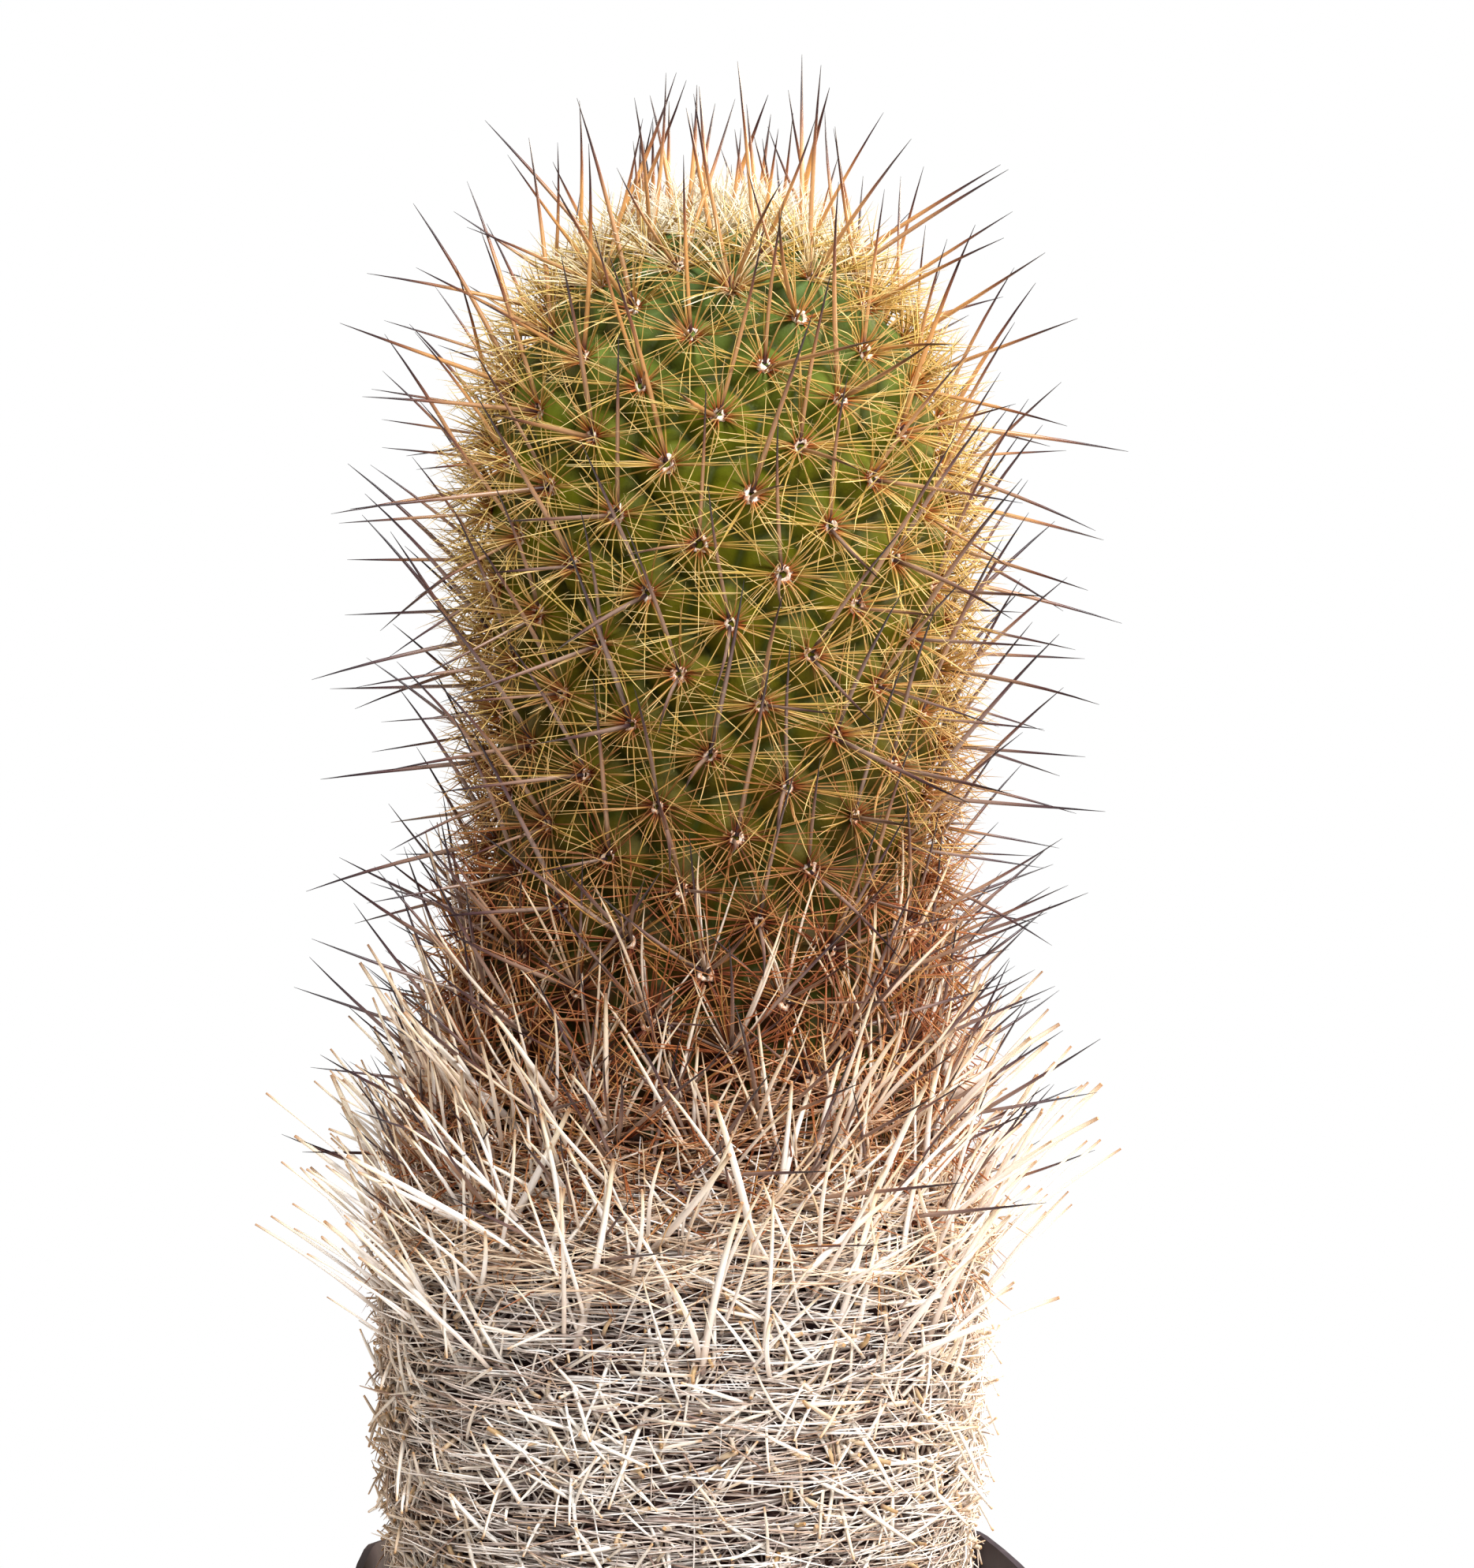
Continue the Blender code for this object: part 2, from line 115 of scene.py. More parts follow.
# The mat's own spines
MAT_LOW, MAT_HIGH = 2.5 * MM, THATCH_HEIGHT - 2 * MM
KNOT_DEPTH = 1.2 * MM
STRAW_DEPTH = 2.0 * MM
NEEDLE_DEPTH = 0.8 * MM
STUB_DEPTH = 0.2 * MM
TAN_COUNT = 1500
TAN_LOW, TAN_HIGH = 54 * MM, 78 * MM
TAN_PALE_AT, TAN_BROWN_AT = 56 * MM, 76 * MM
TAN_LEAST, TAN_MOST = 0.4, 2.6  # mm that the tan straw lies above the surface
COLLAR_LOW, COLLAR_HIGH = 42 * MM, 73 * MM
COLLAR_PALE_AT, COLLAR_TAN_AT = 56 * MM, 75 * MM
LOOSE_COUNT, LOOSE_LOW = 420, 34 * MM
BROKEN_COUNT, BROKEN_HIGH = 1400, 44 * MM
STUB_COUNT, STUB_HIGH = 1000, 56 * MM
ANY_WAY = 3.1  # spread in radians, either way

# Gravel
GRAVEL_WALL_ROOM = 6.2 * MM
GRAVEL_CORNER = 10 * MM
GRAVEL_UNDER_MAT = 1 * MM
GRAVEL_SPACING = 3.3 * MM
GRAVEL_TRIES = 9000
GRAVEL_LOWEST, GRAVEL_HIGHEST = 1.2, 3.2  # mm over the potting mix

# Camera: the pot stands turned a little, so the camera goes round it by the same angle
CAMERA_TURN = math.radians(-5.65)
CAMERA_DISTANCE = 516 * MM
CAMERA_SIDE = 4.75 * MM
CAMERA_ABOVE_RIM = 119 * MM
CAMERA_PITCH = math.radians(1.3)
CAMERA_LENS = 90.5
SENSOR_WIDTH = 36

# Studio
BACKDROP_SEEN = 1.0
BACKDROP_LIGHT = 0.18  # its light on the plant, so that the pale backdrop leaves the shading
FLOOR_RADIUS = 400 * MM
FLOOR_DROP = 0.1 * MM
FLOOR_GREY = 0.86
LIGHTS = (  # name, place, size, power, colour
    ("key", (0.22, -0.7, 0.9), 0.3, 20, (0.97, 0.98, 1)),
    ("left_rim", (-0.6, 0.35, 0.5), 0.35, 3, (1, 0.72, 0.46)),
    ("right_rim", (0.65, 0.2, 0.45), 0.35, 13, (1, 0.82, 0.62)),
)

Plant = namedtuple("Plant", "places outs ups heights radii")


# The plant's rules


def smoothstep(low, high, value):
    share = np.clip((value - low) / (high - low), 0.0, 1.0)
    return share * share * (3 - 2 * share)


def tip_radius(height):
    """Radius over the tubercle tips below the crown."""
    lower = BASE_RADIUS + (COLLAR_RADIUS - BASE_RADIUS) * smoothstep(0, COLLAR_HEIGHT, height)
    to_waist = (WAIST_RADIUS - COLLAR_RADIUS) * smoothstep(COLLAR_HEIGHT, WAIST_HEIGHT, height)
    to_shoulder = (SHOULDER_RADIUS - WAIST_RADIUS) * smoothstep(WAIST_HEIGHT, CROWN_START, height)
    return lower + to_waist + to_shoulder


def stem_outline(column=400, dome=200):
    """Radii and heights from the buried foot of the tubercles up to the middle of the crown."""
    low = np.linspace(-BURIED_TUBERCLES, CROWN_START, column, endpoint=False)
    angle = np.linspace(0, math.pi / 2, dome + 1)
    power = 2 / CROWN_SQUARENESS
    radii = np.r_[tip_radius(low), SHOULDER_RADIUS * np.clip(np.cos(angle), 0, 1) ** power]
    return radii, np.r_[low, CROWN_START + CROWN_HEIGHT * np.sin(angle) ** power]


def middle(height):
    """Sideways place of the stem's middle."""
    return LEAN_LOW + (LEAN_HIGH - LEAN_LOW) * smoothstep(BEND_START, BEND_END, height)


def surface(angles, heights, radii, tilts):
    """Places on the plant, with the outward and the upward direction of its surface there."""
    flat = np.c_[np.cos(angles), np.sin(angles), np.zeros_like(angles)]
    places = flat * radii[:, None] + np.c_[middle(heights), np.zeros_like(angles), MIX_TOP + heights]
    lift = np.array([[0, 0, 1.0]])
    outs = flat * np.cos(tilts)[:, None] + lift * np.sin(tilts)[:, None]
    ups = lift * np.cos(tilts)[:, None] - flat * np.sin(tilts)[:, None]
    return Plant(places, outs, ups, heights, radii)


def areoles():
    """Every areole, lowest first: each takes up one cell of the stem's surface."""
    radii, heights = stem_outline()
    steps_r, steps_z = np.diff(radii), np.diff(heights)
    mid = (radii[1:] + radii[:-1]) / 2
    area = CELL_AREA * np.minimum(mid / YOUNG_RADIUS, 1.0) ** YOUNG_SHRINK
    cells = np.where(mid > GROWING_POINT, 2 * math.pi * mid * np.hypot(steps_r, steps_z) / area, 0)
    counted = np.r_[0, np.cumsum(cells)]
    numbers = np.arange(int(counted[-1]) + 1)
    last = int((mid > GROWING_POINT).sum())
    at = [np.interp(numbers, counted[: last + 1], values[: last + 1]) for values in (heights, radii)]
    tilts = np.interp(at[0], heights[1:], np.arctan2(-steps_r, steps_z))
    return surface(FIRST_ANGLE - numbers * GOLDEN_ANGLE, at[0], at[1], tilts)


def some(plant, keep):
    return Plant(*(values[keep] for values in plant))


def linked(name, data):
    obj = bpy.data.objects.new(name, data)
    bpy.context.scene.collection.objects.link(obj)
    return obj


# Node tools


def feed(node, values):
    """Give a node's inputs, in order, a value or another node's output; None leaves one as it is."""
    tree = node.id_data
    for socket, value in zip([entry for entry in node.inputs if not entry.is_unavailable], values):
        if isinstance(value, bpy.types.Node):
            value = next(output for output in value.outputs if not output.is_unavailable)
        if isinstance(value, bpy.types.NodeSocket):
            tree.links.new(value, socket)
        elif value is not None:
            socket.default_value = value


def put(tree, kind, *values, **settings):
    node = tree.nodes.new(kind)
    for setting, value in settings.items():
        setattr(node, setting, value)
    feed(node, values)
    return node


def calc(tree, operation, *values):
    return put(tree, "ShaderNodeMath", *values, operation=operation)


def vector(tree, operation, *values):
    return put(tree, "ShaderNodeVectorMath", *values, operation=operation)


def either_way(tree, spread, seed, offset):
    """A random number between minus and plus spread."""
    low = calc(tree, "MULTIPLY", spread, -1.0)
    own_seed = calc(tree, "ADD", seed, float(offset))
    return put(tree, "FunctionNodeRandomValue", low, spread, None, own_seed, data_type="FLOAT")


def new_tree(name, inputs):
    """An empty Geometry Nodes group with named inputs, and its input and output nodes."""
    tree = bpy.data.node_groups.new(name, "GeometryNodeTree")
    tree.interface.new_socket("Geometry", in_out="INPUT", socket_type="NodeSocketGeometry")
    for label, kind, value in inputs:
        socket = tree.interface.new_socket(label, in_out="INPUT", socket_type="NodeSocket" + kind)
        if value is not None:
            socket.default_value = value
    tree.interface.new_socket("Geometry", in_out="OUTPUT", socket_type="NodeSocketGeometry")
    return tree, tree.nodes.new("NodeGroupInput").outputs, tree.nodes.new("NodeGroupOutput")


def grown(name, source, tree, settings, body="root"):
    """Run a tree on a mesh and keep the result as a plain mesh piece that rides on a body."""
    obj = linked(name, source)
    modifier = obj.modifiers.new(tree.name, "NODES")
    modifier.node_group = tree
    names = {item.name: item.identifier for item in tree.interface.items_tree if item.in_out == "INPUT"}
    for label, value in settings.items():
        modifier[names[label]] = value
    graph = bpy.context.evaluated_depsgraph_get()
    mesh = bpy.data.meshes.new_from_object(obj.evaluated_get(graph))
    obj.modifiers.clear()
    obj.data = mesh
    mesh.name = name
    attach(obj, body)
    return obj


def seeds_mesh(name, plant, ages):
    """A mesh of loose points, one for each root, with the directions and the age that the trees read."""
    mesh = bpy.data.meshes.new(name)
    mesh.vertices.add(len(plant.places))
    mesh.vertices.foreach_set("co", plant.places.astype(np.float32).ravel())
    for label, values in (("out", plant.outs), ("up", plant.ups)):
        layer = mesh.attributes.new(label, "FLOAT_VECTOR", "POINT")
        layer.data.foreach_set("vector", values.astype(np.float32).ravel())
    layer = mesh.attributes.new("age", "FLOAT", "POINT")
    layer.data.foreach_set("value", np.asarray(ages, np.float32))
    return mesh


# Spines

SPINE_INPUTS = [
    ("Count", "Int", 20),
    ("Length", "Float", 0.010),
    ("Length Spread", "Float", 0.12),
    ("Thickness", "Float", 0.0003),
    ("Tip", "Float", 0.08),
    ("Bend", "Float", 0.05),
    ("Roll Spread", "Float", 0.0),
    ("Rise", "Float", 0.3),
    ("Rise Spread", "Float", 0.1),
    ("Start Angle", "Float", 0.0),
    ("Turns", "Float", 1.0),
    ("Angle Spread", "Float", 0.1),
    ("Side Bias", "Float", 0.0),
    ("Off Centre", "Float", 0.0),
    ("Sides", "Int", 3),
    ("Joints", "Int", 4),
    ("Tone Spread", "Float", 0.15),
    ("Seed", "Int", 1),
    ("Material", "Material", None),
]


def spine_tree():
    """Bursts of curved, tapering spines: Count of them round each root, realised as one mesh."""
    tree, given, out = new_tree("spine_burst", SPINE_INPUTS)
    seed = given["Seed"]
    # One spine along Z, as long as 1, that bows to -X
    back = calc(tree, "MULTIPLY", given["Bend"], -1.0)
    knee = put(tree, "ShaderNodeCombineXYZ", given["Bend"], 0.0, 0.5)
    tip = put(tree, "ShaderNodeCombineXYZ", back, 0.0, 1.0)
    line = put(tree, "GeometryNodeCurveQuadraticBezier", given["Joints"], (0, 0, 0), knee, tip)
    along = put(tree, "GeometryNodeSplineParameter")
    marked = tree.nodes.new("GeometryNodeCaptureAttribute")
    marked.capture_items.new("FLOAT", "along")
    feed(marked, (line, along.outputs["Factor"]))
    ring = put(tree, "GeometryNodeCurvePrimitiveCircle", given["Sides"])
    ring_marked = tree.nodes.new("GeometryNodeCaptureAttribute")
    ring_marked.capture_items.new("FLOAT", "around")
    feed(ring_marked, (ring, along.outputs["Factor"]))
    half = calc(tree, "DIVIDE", given["Thickness"], given["Length"])
    half = calc(tree, "MULTIPLY", half, 0.5)
    wane = calc(tree, "POWER", along.outputs["Factor"], 2.4)
    loss = calc(tree, "SUBTRACT", 1.0, given["Tip"])
    taper = calc(tree, "MULTIPLY_ADD", wane, calc(tree, "MULTIPLY", loss, -1.0), 1.0)
    width = calc(tree, "MULTIPLY", half, taper)
    spine = put(tree, "GeometryNodeCurveToMesh", marked.outputs[0], ring_marked.outputs[0], width, True)
    # Directions round each root
    many = put(
        tree, "GeometryNodeDuplicateElements", given["Geometry"], None, given["Count"], domain="POINT",
    )
    share = calc(tree, "DIVIDE", many.outputs["Duplicate Index"], given["Count"])
    round_it = calc(tree, "MULTIPLY", given["Turns"], 2 * math.pi)
    turn = calc(tree, "MULTIPLY_ADD", share, round_it, given["Start Angle"])
    turn = calc(tree, "ADD", turn, either_way(tree, given["Angle Spread"], seed, 1))
    swing = calc(tree, "SINE", calc(tree, "MULTIPLY", turn, 2.0))
    turn = calc(tree, "SUBTRACT", turn, calc(tree, "MULTIPLY", swing, given["Side Bias"]))
    rise = calc(tree, "ADD", given["Rise"], either_way(tree, given["Rise Spread"], seed, 2))
    named = {
        label: put(tree, "GeometryNodeInputNamedAttribute", label, data_type=kind)
        for label, kind in (("out", "FLOAT_VECTOR"), ("up", "FLOAT_VECTOR"), ("age", "FLOAT"))
    }
    side = vector(tree, "CROSS_PRODUCT", named["up"], named["out"])
    flat = vector(
        tree, "ADD",
        vector(tree, "SCALE", side, calc(tree, "COSINE", turn)),
        vector(tree, "SCALE", named["up"], calc(tree, "SINE", turn)),
    )
    aim = vector(
        tree, "ADD",
        vector(tree, "SCALE", flat, calc(tree, "COSINE", rise)),
        vector(tree, "SCALE", named["out"], calc(tree, "SINE", rise)),
    )
    placed = put(
        tree, "GeometryNodeSetPosition", many.outputs["Geometry"], None, None,
        vector(tree, "SCALE", flat, given["Off Centre"]),
    )
    rolled = vector(
        tree, "ADD", named["out"],
        vector(tree, "SCALE", side, either_way(tree, given["Roll Spread"], seed, 5)),
    )
    facing = put(tree, "FunctionNodeAxesToRotation", aim, rolled, primary_axis="Z", secondary_axis="X")
    size = calc(tree, "ADD", either_way(tree, given["Length Spread"], seed, 3), 1.0)
    size = calc(tree, "MULTIPLY", size, given["Length"])
    spines = put(tree, "GeometryNodeInstanceOnPoints", placed, None, spine, None, None, facing, size)
    tone = calc(tree, "ADD", named["age"], either_way(tree, given["Tone Spread"], seed, 4))
    toned = put(
        tree, "GeometryNodeStoreNamedAttribute", spines, None, "tone", tone,
        data_type="FLOAT", domain="INSTANCE",
    )
    real = put(tree, "GeometryNodeRealizeInstances", toned)
    # The colour map: tone across, root to tip upwards, with a little width for each side
    own_tone = put(tree, "GeometryNodeInputNamedAttribute", "tone", data_type="FLOAT")
    across = put(tree, "ShaderNodeClamp", own_tone, 0.02, 0.96)
    across = calc(tree, "MULTIPLY_ADD", ring_marked.outputs[1], 0.02, across)
    upwards = put(tree, "ShaderNodeClamp", marked.outputs[1], 0.01, 0.99)
    place = put(tree, "ShaderNodeCombineXYZ", across, upwards, 0.0)
    mapped = put(
        tree, "GeometryNodeStoreNamedAttribute", real, None, "OFBake", place,
        data_type="FLOAT2", domain="CORNER",
    )
    dressed = put(tree, "GeometryNodeSetMaterial", mapped, None, given["Material"])
    feed(out, (put(tree, "GeometryNodeSetShadeSmooth", dressed, None, True),))
    return tree


def ramp(tree, factor, stops):
    """A colour ramp node: stops are (place, (r, g, b))."""
    node = put(tree, "ShaderNodeValToRGB", factor)
    elements = node.color_ramp.elements
    while len(elements) < len(stops):
        elements.new(0.5)
    for element, (place, colour) in zip(elements, stops):
        element.position = place
        element.color = (*colour, 1)
    return node


def mix_colour(tree, factor, first, second, blend="MIX"):
    node = tree.nodes.new("ShaderNodeMix")
    node.data_type = "RGBA"
    node.blend_type = blend
    feed(node, (factor, first, second))
    return next(output for output in node.outputs if not output.is_unavailable)


def new_material(name, roughness, **values):
    """A Principled material; values are other sockets, with _ for a space."""
    made = bpy.data.materials.new(name)
    made.use_nodes = True
    shader = made.node_tree.nodes["Principled BSDF"]
    shader.inputs["Roughness"].default_value = roughness
    for label, value in values.items():
        shader.inputs[label.replace("_", " ")].default_value = value
    return made, made.node_tree, shader


def add_bump(tree, shader, height, strength, depth):
    bump = put(tree, "ShaderNodeBump", strength, depth)
    tree.links.new(height.outputs["Fac"], bump.inputs["Height"])
    tree.links.new(bump.outputs[0], shader.inputs["Normal"])


def spine_material(name, young, old, roughness=0.45, **values):
    """Colour along the spine for the youngest and the oldest ones, and a mix for those between."""
    made, tree, shader = new_material(name, roughness, **values)
    place = put(tree, "ShaderNodeUVMap", uv_map="OFBake")
    parts = put(tree, "ShaderNodeSeparateXYZ", place)
    colours = [ramp(tree, parts.outputs["Y"], stops) for stops in (young, old)]
    tree.links.new(mix_colour(tree, parts.outputs["X"], *colours), shader.inputs["Base Color"])
    return made


RADIAL_YOUNG = [
    (0.0, (0.32, 0.05, 0.014)), (0.06, (0.5, 0.15, 0.036)), (0.14, (0.43, 0.26, 0.056)),
    (0.55, (0.56, 0.385, 0.09)), (1.0, (0.86, 0.68, 0.31)),
]
RADIAL_OLD = [
    (0.0, (0.07, 0.013, 0.008)), (0.2, (0.17, 0.034, 0.013)), (0.6, (0.3, 0.08, 0.025)),
    (1.0, (0.42, 0.17, 0.06)),
]
BRISTLE_YOUNG = [
    (0.0, (0.3, 0.045, 0.014)), (0.1, (0.58, 0.2, 0.052)), (0.3, (0.6, 0.355, 0.1)),
    (1.0, (0.84, 0.64, 0.3)),
]
BRISTLE_OLD = [(0.0, (0.09, 0.015, 0.008)), (0.4, (0.26, 0.06, 0.02)), (1.0, (0.42, 0.15, 0.05))]
CROWN_YOUNG = [(0.0, (0.66, 0.5, 0.28)), (0.35, (0.9, 0.82, 0.62)), (1.0, (0.96, 0.93, 0.83))]
CROWN_OLD = [(0.0, (0.55, 0.25, 0.09)), (0.3, (0.78, 0.6, 0.31)), (1.0, (0.93, 0.83, 0.6))]
CENTRAL_YOUNG = [
    (0.0, (0.03, 0.01, 0.014)), (0.05, (0.1, 0.03, 0.02)), (0.12, (0.52, 0.26, 0.08)),
    (0.5, (0.58, 0.28, 0.085)), (0.64, (0.24, 0.08, 0.026)), (0.78, (0.035, 0.01, 0.01)),
    (1.0, (0.008, 0.004, 0.007)),
]
CENTRAL_OLD = [
    (0.0, (0.012, 0.005, 0.009)), (0.07, (0.05, 0.026, 0.03)), (0.2, (0.26, 0.18, 0.14)),
    (0.42, (0.2, 0.125, 0.105)), (0.62, (0.07, 0.035, 0.04)), (0.8, (0.016, 0.008, 0.012)),
    (1.0, (0.007, 0.004, 0.007)),
]
COLLAR_PALE = [
    (0.0, (0.2, 0.12, 0.11)), (0.08, (0.7, 0.6, 0.52)), (0.6, (0.95, 0.92, 0.88)),
    (0.9, (0.9, 0.78, 0.58)), (1.0, (0.4, 0.18, 0.06)),
]
COLLAR_TAN = [
    (0.0, (0.14, 0.06, 0.034)), (0.15, (0.5, 0.3, 0.16)), (0.8, (0.7, 0.5, 0.3)),
    (1.0, (0.18, 0.09, 0.055)),
]
TAN_PALE = [(0.0, (0.35, 0.2, 0.12)), (0.3, (0.72, 0.55, 0.4)), (1.0, (0.86, 0.74, 0.58))]
TAN_BROWN = [(0.0, (0.15, 0.055, 0.028)), (0.4, (0.38, 0.17, 0.075)), (1.0, (0.56, 0.33, 0.17))]
STRAW_PALE = [(0.0, (0.34, 0.24, 0.21)), (0.25, (0.9, 0.84, 0.78)), (1.0, (0.97, 0.95, 0.92))]
STRAW_GREY = [(0.0, (0.022, 0.009, 0.01)), (0.3, (0.19, 0.095, 0.07)), (1.0, (0.52, 0.35, 0.23))]
NEEDLE_PALE = [
    (0.0, (0.7, 0.58, 0.46)), (0.2, (0.93, 0.89, 0.83)), (0.88, (0.93, 0.88, 0.8)),
    (1.0, (0.6, 0.34, 0.13)),
]
NEEDLE_BROWN = [(0.0, (0.2, 0.1, 0.06)), (0.5, (0.5, 0.33, 0.14)), (1.0, (0.36, 0.19, 0.07))]


def burst(name, roots, ages, settings):
    """One group of spines, grown at its roots as its own piece."""
    settings = {label.replace("_", " "): value for label, value in settings.items()}
    piece = grown(name, seeds_mesh(name, roots, ages), bpy.data.node_groups["spine_burst"], settings)
    return piece


def make_spines(plant):
    """Every group of spines on the green, brown and crown parts of the plant, by name."""
    age = 1 - smoothstep(AGE_LOW, AGE_HIGH, plant.heights)
    radial = spine_material("radial_spine", RADIAL_YOUNG, RADIAL_OLD, Specular_IOR_Level=0.3)
    crown = spine_material("crown_spine", CROWN_YOUNG, CROWN_OLD)
    central = spine_material("central_spine", CENTRAL_YOUNG, CENTRAL_OLD, 0.35)
    dried = spine_material("dried_spine", COLLAR_PALE, COLLAR_TAN, 0.6)
    top = plant.radii <= CROWN_REACH
    green = (plant.heights > BROWN_HIGH) & ~top
    brown = (plant.heights > BROWN_LOW) & (plant.heights <= BROWN_HIGH)
    made = {}

    def group(name, keep, slot, ages=age, **settings):
        made[name] = burst(name, some(plant, keep), ages[keep], settings)

    for name, bend, seed in (("green_radials", 0.08, 11), ("green_radials_crossing", -0.05, 21)):
        group(
            name, green, "young_spine", Count=13, Length=11.5 * MM, Length_Spread=0.2,
            Thickness=0.23 * MM, Rise=0.42, Rise_Spread=0.28, Side_Bias=0.39, Bend=bend, Roll_Spread=0.5,
            Off_Centre=0.8 * MM, Start_Angle=0.02 * seed, Angle_Spread=0.3, Seed=seed, Tone_Spread=0.3,
            Material=radial,
        )
    bristle = spine_material("bristle", BRISTLE_YOUNG, BRISTLE_OLD, Specular_IOR_Level=0.3)
    group(
        "bristles", green & (plant.radii > BRISTLE_FROM_RADIUS), "young_spine", Count=19, Length=7 * MM,
        Length_Spread=0.35, Thickness=0.22 * MM, Rise=0.98, Rise_Spread=0.4, Bend=0.08, Roll_Spread=1.5,
        Off_Centre=0.7 * MM, Angle_Spread=0.4, Seed=41, Tone_Spread=0.3, Material=bristle,
    )
    group(
        "brown_radials", brown, "young_spine", Count=42, Length=11.5 * MM, Length_Spread=0.3,
        Thickness=0.27 * MM, Rise=0.4, Rise_Spread=0.4, Side_Bias=0.05, Bend=0.06, Roll_Spread=1.5,
        Off_Centre=0.9 * MM, Angle_Spread=0.5, Seed=12, Tone_Spread=0.35, Material=radial,
    )
    crown_age = smoothstep(CROWN_AGE_START, CROWN_FUZZ_REACH, plant.radii)
    group(
        "crown_radials", plant.radii <= CROWN_FUZZ_REACH, "young_spine", crown_age, Count=32, Length=8 * MM,
        Length_Spread=0.25, Thickness=0.24 * MM, Rise=0.7, Rise_Spread=0.45, Bend=0.07, Roll_Spread=1.5,
        Off_Centre=0.5 * MM, Angle_Spread=0.5, Seed=13, Tone_Spread=0.3, Material=crown,
    )
    group(
        "crown_centrals", top & (plant.radii > CROWN_BARE_REACH), "young_spine", 0 * age, Count=1,
        Length=16.5 * MM, Length_Spread=0.3, Thickness=0.66 * MM, Start_Angle=math.pi / 2, Angle_Spread=0.8,
        Rise=1.1, Rise_Spread=0.25, Bend=-0.02, Roll_Spread=1.5, Sides=5, Joints=6, Seed=14, Tone_Spread=0.2,
        Material=central,
    )
    darker = 0.12 + 0.78 * (1 - smoothstep(DARK_LOW, DARK_HIGH, plant.heights))
    group(
        "upper_centrals", green, "young_spine", darker, Count=1, Length=23.5 * MM, Length_Spread=0.18,
        Thickness=0.62 * MM, Start_Angle=math.pi / 2, Angle_Spread=0.35, Rise=0.62, Rise_Spread=0.24,
        Bend=-0.03, Roll_Spread=0.8, Off_Centre=0.4 * MM, Sides=5, Joints=6, Seed=15, Tone_Spread=0.25,
        Material=central,
    )
    group(
        "outer_centrals", green, "young_spine", darker + 0.12, Count=1, Length=20.5 * MM,
        Length_Spread=0.25, Thickness=0.54 * MM, Start_Angle=-math.pi / 2, Angle_Spread=1.6, Rise=1.3,
        Rise_Spread=0.3, Bend=0.03, Roll_Spread=1.5, Off_Centre=0.3 * MM, Sides=5, Joints=6, Seed=16,
        Tone_Spread=0.25, Material=central,
    )
    group(
        "brown_centrals", brown, "young_spine", 0.55 + 0.45 * age, Count=4, Length=19.5 * MM,
        Length_Spread=0.3, Thickness=0.5 * MM, Start_Angle=0.35, Turns=0.4, Angle_Spread=0.5, Rise=0.8,
        Rise_Spread=0.55, Bend=0.03, Roll_Spread=1.5, Off_Centre=0.3 * MM, Sides=5, Joints=6, Seed=17,
        Tone_Spread=0.3, Material=central,
    )
    low_band = (plant.heights > DRIED_LOW) & (plant.heights < DRIED_HIGH)
    group(
        "dried_spines", low_band, "old_spine", 0.7 + 0 * age, Count=6, Length=15 * MM,
        Length_Spread=0.35, Turns=0.0, Thickness=0.4 * MM, Tip=0.3, Start_Angle=math.pi / 2,
        Angle_Spread=0.7, Rise=0.4, Rise_Spread=0.4, Bend=0.06, Roll_Spread=1.5, Sides=4, Joints=5,
        Seed=19, Tone_Spread=0.25, Material=dried,
    )
    return made


# Stem


def grid_mesh(name, places, closed_top):
    """Skin rows of points (rows, columns, 3) that go round the plant, lowest first."""
    rows, columns = places.shape[:2]
    first = np.arange(columns)
    low = (np.arange(rows - 1)[:, None] * columns + first).ravel()
    low_next = (np.arange(rows - 1)[:, None] * columns + (first + 1) % columns).ravel()
    faces = np.c_[low, low_next, low_next + columns, low + columns].tolist()
    points = places.reshape(-1, 3)
    last = (rows - 1) * columns
    if closed_top:
        points = np.vstack([points, places[-1].mean(0)])
        faces += [[last + step, last + (step + 1) % columns, rows * columns] for step in range(columns)]
    faces.append(list(range(columns))[::-1])
    mesh = bpy.data.meshes.new(name)
    mesh.from_pydata(points.tolist(), [], faces)
    mesh.shade_smooth()
    return mesh


def nearest_two(points, sites):
    """Distances from every point to the nearest and the second nearest site."""
    found = []
    for block in np.array_split(points, max(1, len(points) // 2000)):
        far = np.sqrt(((block[:, None] - sites[None]) ** 2).sum(-1))
        found.append(np.partition(far, 1, axis=1)[:, :2])
    return np.vstack(found).T


